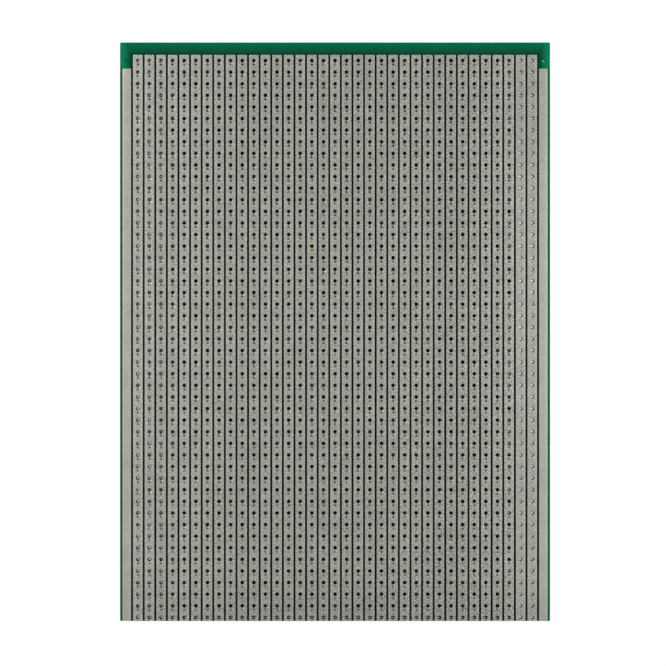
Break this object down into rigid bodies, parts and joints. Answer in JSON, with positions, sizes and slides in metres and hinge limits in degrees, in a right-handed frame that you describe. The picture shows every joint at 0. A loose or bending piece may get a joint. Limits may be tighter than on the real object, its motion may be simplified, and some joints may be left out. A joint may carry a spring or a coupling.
{
  "type": "prototype board",
  "caption": "Flat prototype board: a glass-epoxy sheet with parallel drilled strips of tinned copper, a tinned rail down each side and a green solder mask.",
  "frame": {"origin": "middle of the underside of the laminate", "axes": "+Z out of the face that carries the strips, +Y along the strips towards the bare green border"},
  "size_m": [0.0942, 0.1266, 0.0016],
  "materials": {
    "laminate": "matte",
    "solder_mask": "gloss",
    "tinned_copper": "satin"
  },
  "bodies": {
    "root": {"laminate": "laminate", "solder_mask": "solder_mask", "strip_01": "tinned_copper", "strip_02": "tinned_copper", "strip_03": "tinned_copper", "strip_04": "tinned_copper", "strip_05": "tinned_copper", "strip_06": "tinned_copper", "strip_07": "tinned_copper", "strip_08": "tinned_copper", "strip_09": "tinned_copper", "strip_10": "tinned_copper", "strip_11": "tinned_copper", "strip_12": "tinned_copper", "strip_13": "tinned_copper", "strip_14": "tinned_copper", "strip_15": "tinned_copper", "strip_16": "tinned_copper", "strip_17": "tinned_copper", "strip_18": "tinned_copper", "strip_19": "tinned_copper", "strip_20": "tinned_copper", "strip_21": "tinned_copper", "strip_22": "tinned_copper", "strip_23": "tinned_copper", "strip_24": "tinned_copper", "strip_25": "tinned_copper", "strip_26": "tinned_copper", "strip_27": "tinned_copper", "strip_28": "tinned_copper", "strip_29": "tinned_copper", "strip_30": "tinned_copper", "strip_31": "tinned_copper", "strip_32": "tinned_copper", "strip_33": "tinned_copper", "strip_34": "tinned_copper", "strip_35": "tinned_copper", "rail_left": "tinned_copper", "rail_right": "tinned_copper"}
  },
  "joints": []
}
